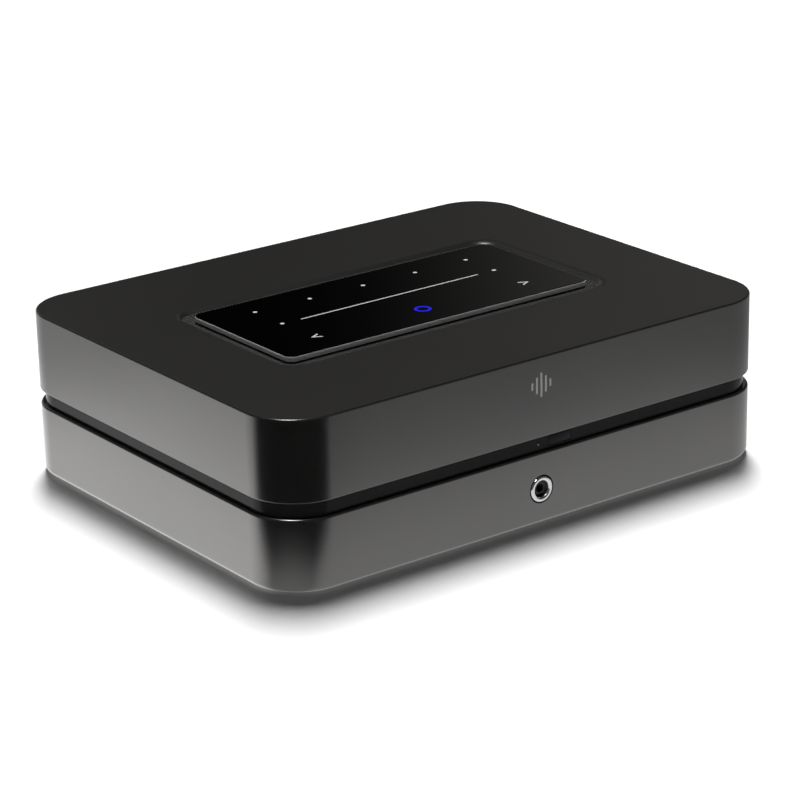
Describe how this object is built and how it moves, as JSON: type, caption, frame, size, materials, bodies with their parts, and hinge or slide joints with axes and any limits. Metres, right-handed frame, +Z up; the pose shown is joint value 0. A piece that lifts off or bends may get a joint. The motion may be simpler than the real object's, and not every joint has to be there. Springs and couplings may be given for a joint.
{
  "type": "streaming stereo amplifier",
  "caption": "Compact rounded box amplifier with wireless audio receiver, touch panel in a vented top well, front headphone socket and rear terminals",
  "frame": {"origin": "centre of the whole outline seen from above, terminals included, on the plane the feet stand on", "axes": "+X to the right seen from the front, +Y to the back, +Z up"},
  "size_m": [0.25, 0.2084, 0.0725],
  "materials": {
    "top_plastic": "matte",
    "bottom_plastic": "satin",
    "band_plastic": "gloss",
    "grille_plastic": "matte",
    "panel_glass": "gloss",
    "icon_print": "matte",
    "status_light": "gloss",
    "emblem_print": "satin",
    "black_plastic": "matte",
    "ir_plastic": "gloss",
    "lamp_plastic": "gloss",
    "cable_film": "satin",
    "foot_rubber": "matte",
    "steel": "satin",
    "bright_ring": "polished",
    "circuit_board": "satin",
    "brass": "satin",
    "gold_plate": "polished",
    "heat_aluminium": "satin",
    "core_steel": "matte",
    "winding": "satin",
    "capacitor_sleeve": "gloss",
    "copper_wire": "satin",
    "fuse_body": "satin",
    "ferrite": "matte",
    "panel_steel": "matte",
    "white_plastic": "satin",
    "red_plastic": "gloss",
    "dark_knob": "gloss"
  },
  "bodies": {
    "unit": {"top_shell": "top_plastic", "vent_grille": "grille_plastic", "touch_panel": "panel_glass", "panel_icons": "icon_print", "status_ring": "status_light", "panel_carrier": "black_plastic", "touch_board": "circuit_board", "ribbon_cable": "cable_film", "mid_band": "band_plastic", "status_lamp": "lamp_plastic", "ir_window": "ir_plastic", "ir_receiver": "ir_plastic", "front_emblem": "emblem_print", "bottom_shell": "bottom_plastic", "rubber_feet": "foot_rubber", "case_screws": "steel", "headphone_ring": "bright_ring", "headphone_jack": "black_plastic", "lower_board": "circuit_board", "board_screws": "steel", "upper_board": "circuit_board", "board_spacers": "brass", "spacer_screws": "steel", "streamer_module": "steel", "wireless_antennas": "circuit_board", "heat_sink": "heat_aluminium", "amplifier_chips": "black_plastic", "transformer_core": "core_steel", "transformer_winding": "winding", "filter_capacitors": "capacitor_sleeve", "line_choke": "copper_wire", "fuse": "fuse_body", "output_inductors": "ferrite", "mains_inlet": "black_plastic", "mains_pins": "steel", "rear_panel": "panel_steel", "ethernet_port": "steel", "usb_port": "steel", "hdmi_port": "steel", "audio_input_jack": "black_plastic", "trigger_jack": "black_plastic", "sub_socket_barrel": "gold_plate", "sub_socket_core": "white_plastic", "reset_switch": "black_plastic", "post_insulators_red": "red_plastic", "post_insulators_black": "black_plastic", "post_studs": "gold_plate", "post_nuts": "gold_plate"},
    "clamp_left_red": {"washer_left_red": "gold_plate"},
    "terminal_left_red": {"knob_left_red": "red_plastic"},
    "clamp_left_black": {"washer_left_black": "gold_plate"},
    "terminal_left_black": {"knob_left_black": "dark_knob"},
    "clamp_right_red": {"washer_right_red": "gold_plate"},
    "terminal_right_red": {"knob_right_red": "red_plastic"},
    "clamp_right_black": {"washer_right_black": "gold_plate"},
    "terminal_right_black": {"knob_right_black": "dark_knob"},
    "reset": {"reset_button": "white_plastic"}
  },
  "joints": [
    {"name": "travel_left_red", "type": "slide", "parent": "unit", "child": "clamp_left_red", "axis": [0, 1, 0], "range_m": [0, 0.00405]},
    {"name": "turn_left_red", "type": "hinge", "parent": "clamp_left_red", "child": "terminal_left_red", "pos_m": [-0.074, 0.09425, 0.022], "axis": [0, 1, 0], "range_deg": [0, 1440]},
    {"name": "travel_left_black", "type": "slide", "parent": "unit", "child": "clamp_left_black", "axis": [0, 1, 0], "range_m": [0, 0.00405]},
    {"name": "turn_left_black", "type": "hinge", "parent": "clamp_left_black", "child": "terminal_left_black", "pos_m": [-0.055, 0.09425, 0.022], "axis": [0, 1, 0], "range_deg": [0, 1440]},
    {"name": "travel_right_red", "type": "slide", "parent": "unit", "child": "clamp_right_red", "axis": [0, 1, 0], "range_m": [0, 0.00405]},
    {"name": "turn_right_red", "type": "hinge", "parent": "clamp_right_red", "child": "terminal_right_red", "pos_m": [-0.031, 0.09425, 0.022], "axis": [0, 1, 0], "range_deg": [0, 1440]},
    {"name": "travel_right_black", "type": "slide", "parent": "unit", "child": "clamp_right_black", "axis": [0, 1, 0], "range_m": [0, 0.00405]},
    {"name": "turn_right_black", "type": "hinge", "parent": "clamp_right_black", "child": "terminal_right_black", "pos_m": [-0.012, 0.09425, 0.022], "axis": [0, 1, 0], "range_deg": [0, 1440]},
    {"name": "reset_press", "type": "slide", "parent": "unit", "child": "reset", "axis": [0, -1, 0], "range_m": [0, 0.0008], "stiffness_N_per_m": 400}
  ],
  "couplings": [
    {"joint": "travel_left_red", "follows": "turn_left_red", "m_per_rad": 0.00015915},
    {"joint": "travel_left_black", "follows": "turn_left_black", "m_per_rad": 0.00015915},
    {"joint": "travel_right_red", "follows": "turn_right_red", "m_per_rad": 0.00015915},
    {"joint": "travel_right_black", "follows": "turn_right_black", "m_per_rad": 0.00015915}
  ]
}
